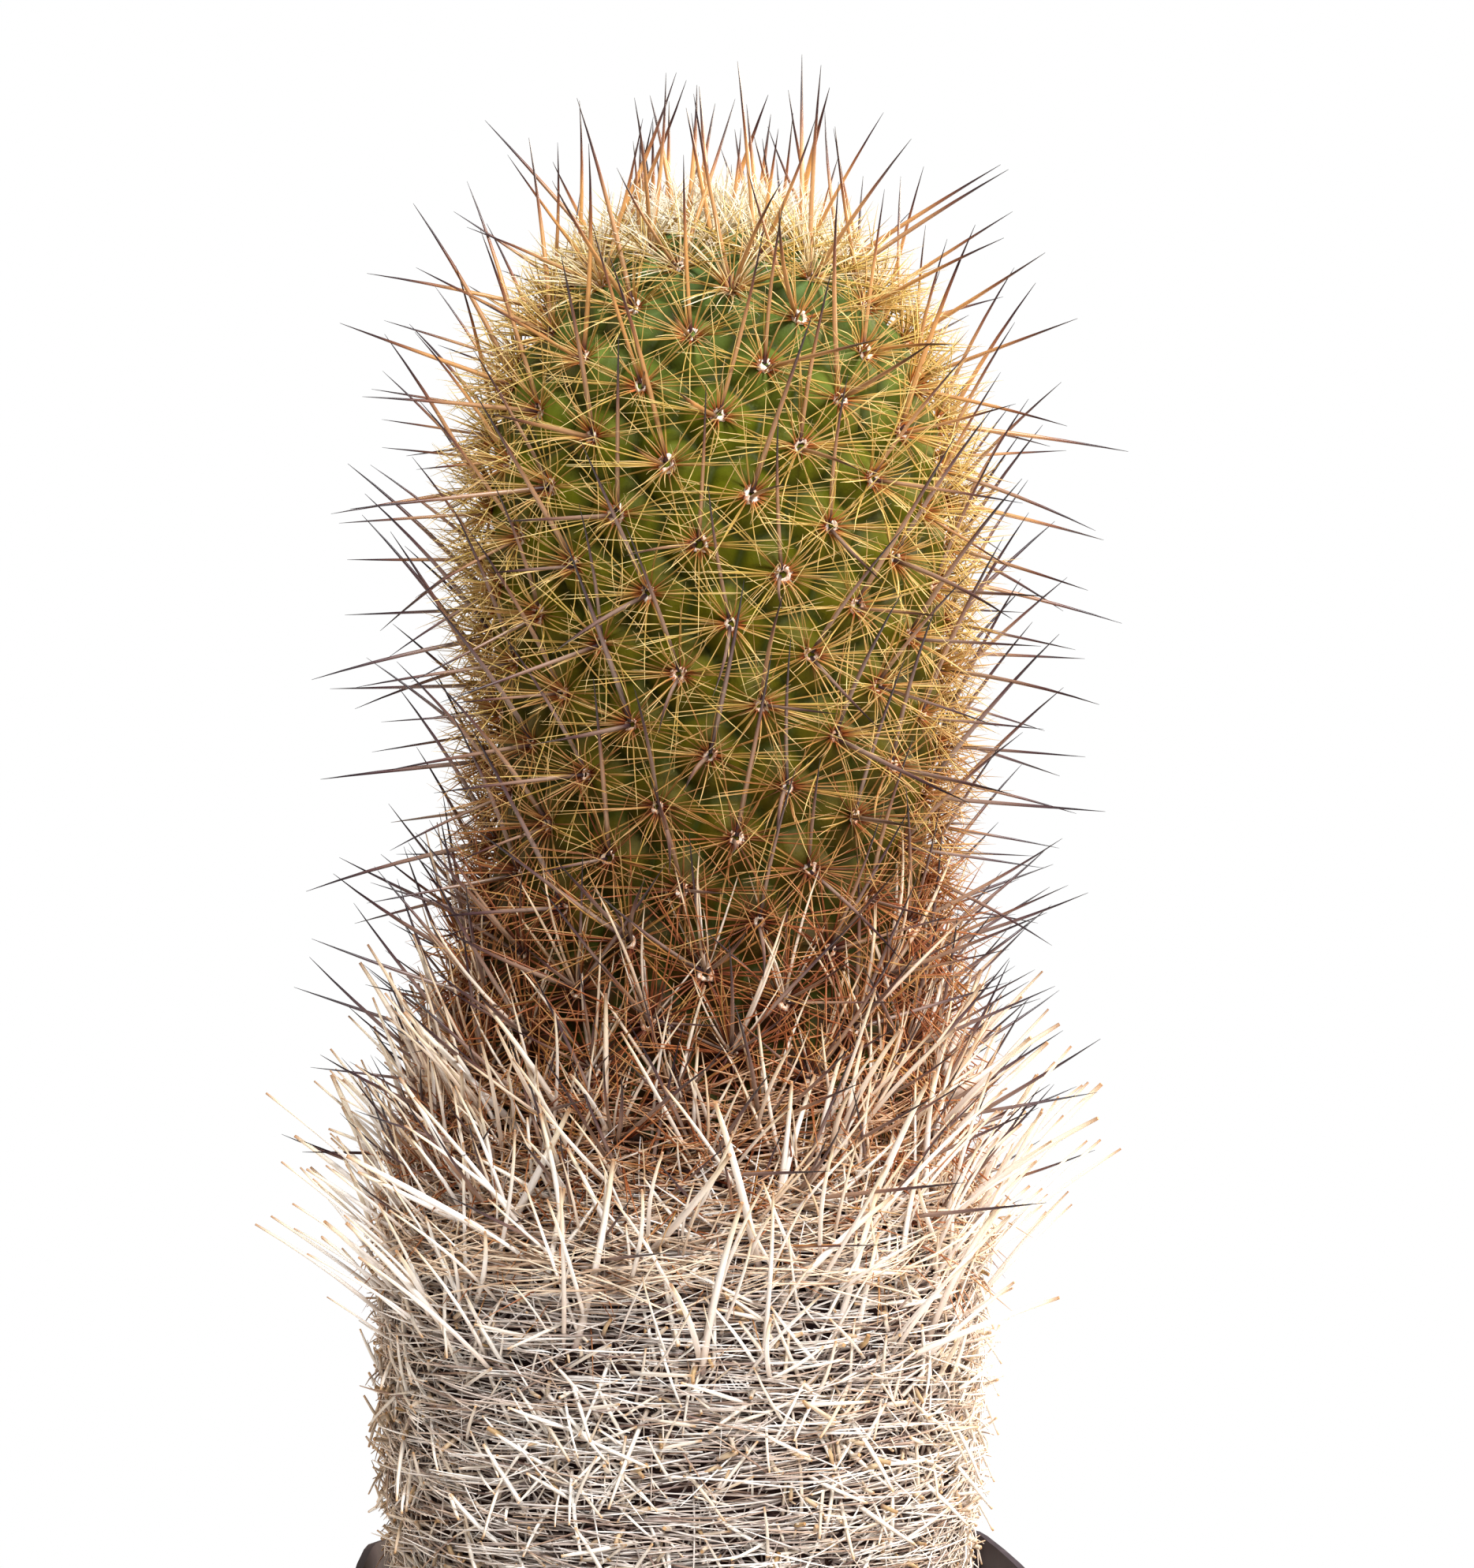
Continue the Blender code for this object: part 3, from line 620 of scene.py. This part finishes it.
def skin_material():
    made, tree, shader = new_material("cactus_skin", 0.6, Specular_IOR_Level=0.15)
    place = put(tree, "ShaderNodeTexCoord").outputs["Object"]
    height = put(tree, "ShaderNodeSeparateXYZ", place).outputs["Z"]
    band = put(
        tree, "ShaderNodeMapRange", height, MIX_TOP + SKIN_BROWN_BELOW, MIX_TOP + STEM_RISE, 0.0, 1.0,
    )
    green = ramp(tree, band, [
        (0.0, (0.035, 0.01, 0.005)), (0.2, (0.05, 0.016, 0.004)), (0.36, (0.08, 0.06, 0.002)),
        (0.6, (0.112, 0.103, 0.001)), (0.78, (0.106, 0.122, 0.002)), (1.0, (0.1, 0.18, 0.05)),
    ])
    mottle = put(tree, "ShaderNodeTexNoise", place, 260.0, 5.0, 0.6)
    patch = put(tree, "ShaderNodeMapRange", mottle, 0.35, 0.7, 0.75, 1.2)
    coloured = mix_colour(tree, 1.0, green, patch, "MULTIPLY")
    # Painted shade: the skin's colour darkens to a near-black green in the grooves between tubercles
    groove = put(tree, "ShaderNodeAttribute", attribute_name="groove").outputs["Fac"]
    groove_painted_shade = mix_colour(tree, groove, coloured, (0.03, 0.037, 0.001, 1))
    tree.links.new(groove_painted_shade, shader.inputs["Base Color"])
    grain = put(tree, "ShaderNodeTexNoise", place, 2200.0, 3.0, 0.6)
    add_bump(tree, shader, grain, 0.35, 0.0002)
    return made


def make_stem(plant):
    """The grown stem: its outline, dipped into a groove where two tubercles meet."""
    radii, heights = stem_outline(3000, 3000)
    run = np.r_[0, np.cumsum(np.hypot(np.diff(radii), np.diff(heights)))]
    rows, columns = 260, 330
    at = np.linspace(0, run[-1] - CROWN_CLOSE, rows)
    row_z, row_r = np.interp(at, run, heights), np.interp(at, run, radii)
    tilts = np.interp(at, run[1:], np.arctan2(-np.diff(radii), np.diff(heights)))
    angle = np.tile(np.linspace(0, 2 * math.pi, columns, endpoint=False), rows)
    smooth = surface(angle, *(np.repeat(values, columns) for values in (row_z, row_r, tilts)))
    near, next_near = nearest_two(smooth.places, plant.places)
    edge = 2 * near / (near + next_near)
    dip = edge**GROOVE_SHARPNESS
    depth = GROOVE_DEPTH * np.minimum(smooth.radii / YOUNG_RADIUS, 1.0) * dip
    places = smooth.places - smooth.outs * depth[:, None]
    mesh = grid_mesh("stem", places.reshape(rows, columns, 3), closed_top=True)
    # The groove attribute marks where the skin's colour gets painted shade
    layer = mesh.attributes.new("groove", "FLOAT", "POINT")
    values = np.append(smoothstep(0.45, 1.0, dip), 0).astype(np.float32)
    layer.data.foreach_set("value", values)
    mesh.materials.append(skin_material())
    stem = linked("stem", mesh)
    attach(stem, "root")
    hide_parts("cactus_stem")


# Wool

WOOL_INPUTS = [
    ("Radius", "Float", 0.76 * MM), ("Thickness", "Float", 0.66 * MM), ("Seed", "Int", 1),
    ("Material", "Material", None),
]


def wool_tree():
    """A ragged ring of wool lying on each areole."""
    tree, given, out = new_tree("wool_rings", WOOL_INPUTS)
    ring = put(tree, "GeometryNodeCurvePrimitiveCircle", 9, given["Radius"])
    strand = put(tree, "GeometryNodeCurvePrimitiveCircle", 5)
    half = calc(tree, "MULTIPLY", given["Thickness"], 0.5)
    tuft = put(tree, "GeometryNodeCurveToMesh", ring, strand, half)
    named = [
        put(tree, "GeometryNodeInputNamedAttribute", label, data_type="FLOAT_VECTOR")
        for label in ("out", "up")
    ]
    facing = put(tree, "FunctionNodeAxesToRotation", *named, primary_axis="Z", secondary_axis="Y")
    size = calc(tree, "ADD", either_way(tree, 0.2, given["Seed"], 1), 1.0)
    rings = put(
        tree, "GeometryNodeInstanceOnPoints", given["Geometry"], None, tuft, None, None, facing, size,
    )
    real = put(tree, "GeometryNodeRealizeInstances", rings)
    ragged = put(tree, "ShaderNodeTexNoise", None, 900.0, 3.0)
    push = vector(tree, "SUBTRACT", ragged.outputs["Color"], (0.5, 0.5, 0.5))
    push = vector(tree, "SCALE", push, calc(tree, "MULTIPLY", given["Thickness"], 2.6))
    rough = put(tree, "GeometryNodeSetPosition", real, None, None, push)
    dressed = put(tree, "GeometryNodeSetMaterial", rough, None, given["Material"])
    feed(out, (put(tree, "GeometryNodeSetShadeSmooth", dressed, None, True),))
    return tree


def wool_material():
    made, tree, shader = new_material("areole_wool", 0.95)
    place = put(tree, "ShaderNodeTexCoord").outputs["Object"]
    fleck = put(tree, "ShaderNodeTexNoise", place, 1800.0, 4.0, 0.7)
    young = ramp(tree, fleck, [
        (0.34, (0.4, 0.17, 0.08)), (0.5, (0.82, 0.7, 0.56)), (0.68, (0.93, 0.9, 0.84)),
    ])
    old = ramp(tree, fleck, [
        (0.36, (0.42, 0.11, 0.04)), (0.48, (0.76, 0.46, 0.28)), (0.6, (0.94, 0.84, 0.72)),
    ])
    height = put(tree, "ShaderNodeSeparateXYZ", place).outputs["Z"]
    youth = put(
        tree, "ShaderNodeMapRange", height, MIX_TOP + WOOL_OLD_AT, MIX_TOP + WOOL_YOUNG_AT, 0.0, 1.0,
    )
    tree.links.new(mix_colour(tree, youth, old, young), shader.inputs["Base Color"])
    return made


def make_wool(plant):
    keep = plant.heights > WOOL_LOW
    mesh = seeds_mesh("wool", some(plant, keep), np.zeros(keep.sum()))
    wool = grown("areole_wool", mesh, wool_tree(), {"Material": wool_material(), "Seed": 5})


# Matted old spines


def thatch_reach(height):
    """Radius over the outside of the mat."""
    full = 1 - smoothstep(THATCH_HEIGHT - THATCH_FADE, THATCH_HEIGHT, height)
    return tip_radius(height) + GAP + THATCH_THICKNESS * (THATCH_EDGE + (1 - THATCH_EDGE) * full)


def tuck(heights):
    """How far under the mat's outside its own spines root."""
    foot = FOOT_TUCK * (1 - smoothstep(0, FOOT_TOP, heights))
    return (THATCH_TUCK + foot) * (1 - smoothstep(UNTUCKED_FROM, UNTUCKED_AT, heights))


def on_thatch(rng, count, low, high, under):
    """Random roots on the tucked surface of the mat, up to a depth under it."""
    heights = rng.uniform(low, high, count)
    angles = rng.uniform(0, 2 * math.pi, count)
    radii = thatch_reach(heights) - tuck(heights) - rng.uniform(0, under, count)
    return surface(angles, heights, radii, np.zeros(count))


def thatch_core_material():
    made, tree, shader = new_material("old_spine_shadow", 0.95)
    place = put(tree, "ShaderNodeTexCoord").outputs["Object"]
    squeezed = put(tree, "ShaderNodeMapping", place)
    squeezed.inputs["Scale"].default_value = (1, 1, 6)
    fibre = put(tree, "ShaderNodeTexNoise", squeezed, 420.0, 5.0, 0.7)
    tint = ramp(tree, fibre, [
        (0.3, (0.018, 0.007, 0.009)), (0.55, (0.07, 0.03, 0.026)), (0.75, (0.24, 0.14, 0.1)),
    ])
    tree.links.new(tint.outputs["Color"], shader.inputs["Base Color"])
    add_bump(tree, shader, fibre, 0.8, 0.0008)
    return made


def make_thatch():
    """The dark core that shows between the mat's spines."""
    rows, columns = 60, 180
    heights = np.linspace(GAP, THATCH_HEIGHT, rows)
    angle = np.tile(np.linspace(0, 2 * math.pi, columns, endpoint=False), rows)
    tall = np.repeat(heights, columns)
    drawn = CORE_DRAW * smoothstep(THATCH_HEIGHT, THATCH_HEIGHT - CORE_DRAW_HEIGHT, tall)
    radii = thatch_reach(tall) - tuck(tall) - drawn
    core = surface(angle, tall, radii, np.zeros_like(tall))
    mesh = grid_mesh("thatch_core", core.places.reshape(rows, columns, 3), closed_top=True)
    mesh.materials.append(thatch_core_material())
    obj = linked("thatch_core", mesh)
    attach(obj, "root")
    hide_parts("spine_thatch")


def make_mat(plant):
    """The mat's own spines: fans at its areoles, wrapped straw, loose needles and broken stubs."""
    straw = spine_material("old_straw", STRAW_PALE, STRAW_GREY, 0.65)
    needle = spine_material("broken_needle", NEEDLE_PALE, NEEDLE_BROWN, 0.6)
    rng = np.random.default_rng(21)

    def layer(name, roots, ages, **settings):
        return burst(name, roots, ages, settings)

    knots = some(plant, (plant.heights > MAT_LOW) & (plant.heights < MAT_HIGH))
    angles = np.arctan2(knots.outs[:, 1], knots.outs[:, 0])
    reach = thatch_reach(knots.heights) - tuck(knots.heights) - KNOT_DEPTH
    knots = surface(angles, knots.heights, reach, np.zeros_like(angles))
    fans = layer(
        "matted_fans", knots, rng.uniform(0.1, 0.8, len(angles)), Count=26, Length=11.5 * MM,
        Length_Spread=0.25, Thickness=0.3 * MM, Tip=0.3, Bend=0.08, Roll_Spread=0.5, Rise=0.13,
        Rise_Spread=0.12, Side_Bias=0.48, Angle_Spread=0.14, Off_Centre=0.6 * MM, Seed=30,
        Tone_Spread=0.4, Material=straw,
    )
    for name, count, start, seed in (
        ("wrapped_straw", 3300, 0.0, 31),
        ("wrapped_straw_back", 3000, math.pi, 32),
    ):
        roots = on_thatch(rng, count, MAT_LOW, MAT_HIGH, STRAW_DEPTH)
        layer(
            name, roots, rng.uniform(0, 1, count), Count=1, Length=11.5 * MM, Length_Spread=0.35,
            Thickness=0.26 * MM, Tip=0.4, Bend=0.06, Roll_Spread=0.4, Rise=0.05, Rise_Spread=0.1,
            Start_Angle=start, Angle_Spread=0.17, Seed=seed, Material=straw,
        )
    tan = spine_material("tan_straw", TAN_PALE, TAN_BROWN, 0.65)
    heights = rng.uniform(TAN_LOW, TAN_HIGH, TAN_COUNT)
    angles = rng.uniform(0, 2 * math.pi, TAN_COUNT)
    above = rng.uniform(TAN_LEAST, TAN_MOST, TAN_COUNT) * MM
    reach = np.maximum(tip_radius(heights), thatch_reach(heights) - 1 * MM) + above
    roots = surface(angles, heights, reach, np.zeros(TAN_COUNT))
    browned = smoothstep(TAN_PALE_AT, TAN_BROWN_AT, heights)
    layer(
        "tan_straw", roots, browned, Count=2, Length=9 * MM, Length_Spread=0.4, Thickness=0.27 * MM,
        Tip=0.4, Bend=0.06, Roll_Spread=0.6, Rise=0.08, Rise_Spread=0.16,
        Angle_Spread=0.45, Seed=36, Tone_Spread=0.3, Material=tan,
    )
    collar = spine_material("collar_spine", COLLAR_PALE, COLLAR_TAN, 0.6)
    for name, count, start, thickness, seed in (
        ("collar_spines", 85, 1.3, 0.8, 18),
        ("collar_spines_crossing", 75, 1.85, 0.75, 28),
        ("thin_collar_spines", 340, 1.57, 0.45, 38),
    ):
        roots = on_thatch(rng, count, COLLAR_LOW, COLLAR_HIGH, STRAW_DEPTH)
        tanned = 0.5 * smoothstep(COLLAR_PALE_AT, COLLAR_TAN_AT, roots.heights)
        layer(
            name, roots, tanned, Count=1, Length=19 * MM, Length_Spread=0.4, Thickness=thickness * MM,
            Tip=0.5, Start_Angle=start, Angle_Spread=0.65, Turns=0.0, Rise=0.5, Rise_Spread=0.42,
            Bend=-0.04, Roll_Spread=1.5, Sides=5, Joints=6, Seed=seed, Tone_Spread=0.25, Material=collar,
        )
    roots = on_thatch(rng, LOOSE_COUNT, LOOSE_LOW, MAT_HIGH, NEEDLE_DEPTH)
    layer(
        "loose_needles", roots, rng.uniform(0, 0.3, LOOSE_COUNT), Count=1, Length=9 * MM,
        Length_Spread=0.45, Thickness=0.46 * MM, Tip=0.5, Bend=0.05, Roll_Spread=1.5, Rise=0.18,
        Rise_Spread=0.24, Angle_Spread=ANY_WAY, Sides=4, Seed=33, Material=needle,
    )
    roots = on_thatch(rng, BROKEN_COUNT, MAT_LOW, BROKEN_HIGH, NEEDLE_DEPTH)
    layer(
        "broken_needles", roots, rng.uniform(0, 0.6, BROKEN_COUNT), Count=1, Length=6.5 * MM,
        Length_Spread=0.55, Thickness=0.42 * MM, Tip=0.6, Bend=0.05, Roll_Spread=1.5, Rise=0.2,
        Rise_Spread=0.3, Angle_Spread=ANY_WAY, Sides=4, Seed=35, Material=needle,
    )
    roots = on_thatch(rng, STUB_COUNT, MAT_LOW, STUB_HIGH, STUB_DEPTH)
    layer(
        "broken_stubs", roots, rng.uniform(0.45, 1, STUB_COUNT), Count=1, Length=1.9 * MM,
        Length_Spread=0.5, Thickness=0.5 * MM, Tip=0.8, Bend=0.1, Roll_Spread=2.0, Rise=0.7,
        Rise_Spread=0.6, Angle_Spread=ANY_WAY, Sides=4, Joints=3, Seed=34, Material=needle,
    )
    return fans


# Pot, soil and gravel


def plastic_material():
    made, tree, shader = new_material("pot_plastic", 0.5)
    place = put(tree, "ShaderNodeTexCoord").outputs["Object"]
    dust = put(tree, "ShaderNodeTexNoise", place, 90.0, 6.0, 0.65)
    tint = ramp(tree, dust, [
        (0.35, (0.016, 0.012, 0.019)), (0.6, (0.034, 0.026, 0.038)), (0.8, (0.1, 0.08, 0.1)),
    ])
    tree.links.new(tint.outputs["Color"], shader.inputs["Base Color"])
    rough = put(tree, "ShaderNodeMapRange", dust, 0.3, 0.75, 0.42, 0.7)
    tree.links.new(rough.outputs[0], shader.inputs["Roughness"])
    grain = put(tree, "ShaderNodeTexNoise", place, 1600.0, 2.0)
    add_bump(tree, shader, grain, 0.2, 0.0001)
    return made


def soil_material():
    made, tree, shader = new_material("potting_mix", 0.97)
    place = put(tree, "ShaderNodeTexCoord").outputs["Object"]
    crumb = put(tree, "ShaderNodeTexNoise", place, 500.0, 6.0, 0.7)
    tint = ramp(tree, crumb, [
        (0.3, (0.02, 0.013, 0.009)), (0.55, (0.06, 0.04, 0.026)), (0.72, (0.2, 0.15, 0.1)),
    ])
    tree.links.new(tint.outputs["Color"], shader.inputs["Base Color"])
    add_bump(tree, shader, crumb, 0.9, 0.001)
    return made


GRAVEL_INPUTS = [
    ("Size", "Float", 5.5 * MM), ("Size Spread", "Float", 0.3), ("Seed", "Int", 1),
    ("Material", "Material", None),
]


def gravel_tree():
    """A worn stone at each point, no two alike."""
    tree, given, out = new_tree("gravel", GRAVEL_INPUTS)
    seed = given["Seed"]
    stone = put(tree, "GeometryNodeMeshIcoSphere", calc(tree, "MULTIPLY", given["Size"], 0.5), 3)
    turn = put(
        tree, "FunctionNodeRandomValue", (-0.5, -0.5, 0), (0.5, 0.5, 6.3), None, seed,
        data_type="FLOAT_VECTOR",
    )
    spread = calc(tree, "ADD", either_way(tree, given["Size Spread"], seed, 1), 1.0)
    shape = put(
        tree, "FunctionNodeRandomValue", (0.85, 0.7, 0.5), (1.1, 0.95, 0.75), None, seed,
        data_type="FLOAT_VECTOR",
    )
    scale = vector(tree, "SCALE", shape, spread)
    turned = put(tree, "FunctionNodeEulerToRotation", turn)
    stones = put(
        tree, "GeometryNodeInstanceOnPoints", given["Geometry"], None, stone, None, None, turned, scale,
    )
    kind = put(tree, "FunctionNodeRandomValue", 0.0, 1.0, None, seed, data_type="FLOAT")
    kinds = put(
        tree, "GeometryNodeStoreNamedAttribute", stones, None, "stone", kind,
        data_type="FLOAT", domain="INSTANCE",
    )
    real = put(tree, "GeometryNodeRealizeInstances", kinds)
    own = put(tree, "GeometryNodeInputNamedAttribute", "stone", data_type="FLOAT")
    shift = calc(tree, "MULTIPLY", own, 3.0)
    aside = put(tree, "ShaderNodeCombineXYZ", shift, shift, 0.0)
    spot = vector(tree, "ADD", put(tree, "GeometryNodeInputPosition"), aside)
    lumps = put(tree, "ShaderNodeTexNoise", spot, 260.0, 2.0, 0.5)
    depth = calc(tree, "MULTIPLY", given["Size"], 0.45)
    push = calc(tree, "MULTIPLY", calc(tree, "SUBTRACT", lumps, 0.5), depth)
    worn = put(
        tree, "GeometryNodeSetPosition", real, None, None,
        vector(tree, "SCALE", put(tree, "GeometryNodeInputNormal"), push),
    )
    dressed = put(tree, "GeometryNodeSetMaterial", worn, None, given["Material"])
    feed(out, (put(tree, "GeometryNodeSetShadeSmooth", dressed, None, True),))
    return tree


def stone_material():
    made, tree, shader = new_material("gravel_stone", 0.8)
    place = put(tree, "ShaderNodeTexCoord").outputs["Object"]
    kind = put(tree, "ShaderNodeAttribute", attribute_name="stone").outputs["Fac"]
    base = ramp(tree, kind, [
        (0.0, (0.3, 0.29, 0.28)), (0.35, (0.42, 0.4, 0.37)), (0.5, (0.68, 0.62, 0.52)),
        (0.62, (0.5, 0.3, 0.16)), (0.76, (0.2, 0.17, 0.15)), (0.88, (0.78, 0.75, 0.7)),
    ])
    base.color_ramp.interpolation = "CONSTANT"
    speck = put(tree, "ShaderNodeTexNoise", place, 1400.0, 5.0, 0.7)
    tone = put(tree, "ShaderNodeMapRange", speck, 0.3, 0.7, 0.6, 1.25)
    tree.links.new(mix_colour(tree, 1.0, base, tone, "MULTIPLY"), shader.inputs["Base Color"])
    add_bump(tree, shader, speck, 0.6, 0.0003)
    return made


def make_gravel():
    """Stones scattered over the mix between the plant and the pot's wall, none too near another."""
    rng = np.random.default_rng(8)
    half = (POT_HIGH.x - POT_LOW.x) / 2 - GRAVEL_WALL_ROOM
    inner = BASE_RADIUS + THATCH_THICKNESS - GRAVEL_UNDER_MAT
    taken = np.empty((0, 2))
    for _ in range(GRAVEL_TRIES):
        spot = rng.uniform(-half, half, 2)
        past = np.maximum(np.abs(spot) - (half - GRAVEL_CORNER), 0)
        if np.hypot(*past) > GRAVEL_CORNER or np.hypot(spot[0] - LEAN_LOW, spot[1]) < inner:
            continue
        if len(taken) and np.hypot(*(taken - spot).T).min() < GRAVEL_SPACING:
            continue
        taken = np.vstack([taken, spot])
    count = len(taken)
    places = np.c_[taken, MIX_TOP + rng.uniform(GRAVEL_LOWEST, GRAVEL_HIGHEST, count) * MM]
    outs, ups = np.tile((0, 0, 1.0), (count, 1)), np.tile((0, 1.0, 0), (count, 1))
    level = Plant(places, outs, ups, None, None)
    settings = {"Material": stone_material(), "Seed": 3}
    gravel = grown("gravel", seeds_mesh("gravel", level, np.zeros(count)), gravel_tree(), settings)
    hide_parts(*sorted(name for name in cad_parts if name.startswith("pebble_")))


def dress(node, material):
    """Give a CAD node that stays its own material."""
    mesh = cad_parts[node].data
    mesh.materials.clear()
    mesh.materials.append(material)


# Stage


def make_camera():
    turn = np.array([
        [math.cos(CAMERA_TURN), -math.sin(CAMERA_TURN)],
        [math.sin(CAMERA_TURN), math.cos(CAMERA_TURN)],
    ])
    x, y = turn @ (CAMERA_SIDE, -CAMERA_DISTANCE)
    data = bpy.data.cameras.new("camera")
    data.lens = CAMERA_LENS
    data.sensor_width = SENSOR_WIDTH
    data.clip_start, data.clip_end = 0.01, 20
    camera = linked("camera", data)
    camera.location = (x, y, POT_RIM + CAMERA_ABOVE_RIM)
    camera.rotation_euler = (math.pi / 2 - CAMERA_PITCH, 0, CAMERA_TURN)
    bpy.context.scene.camera = camera


def make_floor():
    bm = bmesh.new()
    bmesh.ops.create_circle(bm, cap_ends=True, segments=96, radius=FLOOR_RADIUS)
    mesh = bpy.data.meshes.new("floor")
    bm.to_mesh(mesh)
    bm.free()
    made, _, shader = new_material("pale_floor", 0.9)
    shader.inputs["Base Color"].default_value = (FLOOR_GREY, FLOOR_GREY, FLOOR_GREY, 1)
    mesh.materials.append(made)
    floor = linked("floor", mesh)
    floor.location.z = -FLOOR_DROP


def make_light(name, place, size, power, colour, target):
    data = bpy.data.lights.new(name, "AREA")
    data.size = size
    data.energy = power
    data.color = colour
    light = linked(name, data)
    light.location = place
    light.rotation_euler = (Vector(target) - Vector(place)).to_track_quat("-Z", "Y").to_euler()


def make_lights():
    world = bpy.data.worlds.new("studio")
    world.use_nodes = True
    backdrop = world.node_tree.nodes["Background"]
    backdrop.inputs["Color"].default_value = (1, 1, 1, 1)
    seen = put(world.node_tree, "ShaderNodeLightPath").outputs["Is Camera Ray"]
    strength = put(
        world.node_tree, "ShaderNodeMapRange", seen, 0.0, 1.0, BACKDROP_LIGHT, BACKDROP_SEEN,
    )
    world.node_tree.links.new(strength.outputs[0], backdrop.inputs["Strength"])
    bpy.context.scene.world = world
    target = (0, 0, MIX_TOP + STEM_RISE / 2)
    for light in LIGHTS:
        make_light(*light, target)
    bpy.context.scene.view_settings.view_transform = "Standard"


def main():
    make_camera()
    plant = areoles()
    make_stem(plant)
    spine_tree()
    spines = make_spines(plant)
    make_wool(plant)
    make_thatch()
    fans = make_mat(plant)
    make_gravel()
    dress("pot", plastic_material())
    dress("potting_mix", soil_material())
    clusters = sorted(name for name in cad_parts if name.startswith("spine_cluster_"))
    middles = {name: sum(corner.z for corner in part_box(name)) / 2 for name in clusters}
    on_mat = [name for name in clusters if middles[name] < MIX_TOP + THATCH_HEIGHT]
    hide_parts(*on_mat)
    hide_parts(*(name for name in clusters if name not in on_mat))
    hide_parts("crown_spines")
    make_floor()
    make_lights()


main()
